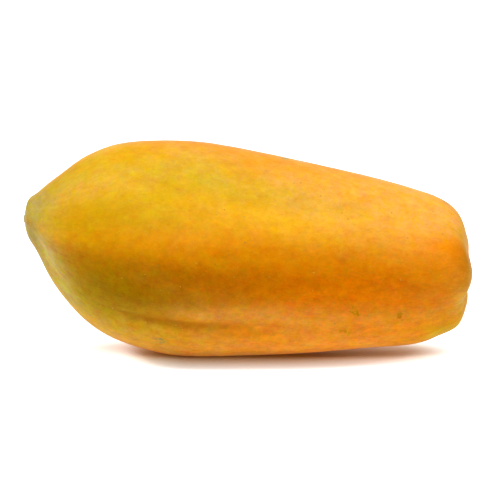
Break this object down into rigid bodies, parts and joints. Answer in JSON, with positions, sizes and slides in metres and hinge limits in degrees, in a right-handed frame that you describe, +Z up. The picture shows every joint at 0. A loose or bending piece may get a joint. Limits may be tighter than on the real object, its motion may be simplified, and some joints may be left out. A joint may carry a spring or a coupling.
{
  "type": "papaya",
  "caption": "Whole ripe papaya lying on its side: a pear-shaped fruit with a pointed blossom end, a blunt shouldered stem end and shallow lengthwise grooves, resting on a small flat spot.",
  "frame": {"origin": "on the resting plane, under the middle of the fruit's bounding box", "axes": "+X along the fruit towards its stem end, +Z up, -Y is the side that faces a viewer who has the blossom end on their left"},
  "size_m": [0.2596, 0.1298, 0.1248],
  "materials": {
    "skin": "thin waxy skin, satin gloss, mottled yellow to orange with green flecks",
    "cork": "dry corky scar tissue, matt"
  },
  "bodies": {
    "root": {"papaya": "skin"}
  },
  "joints": []
}
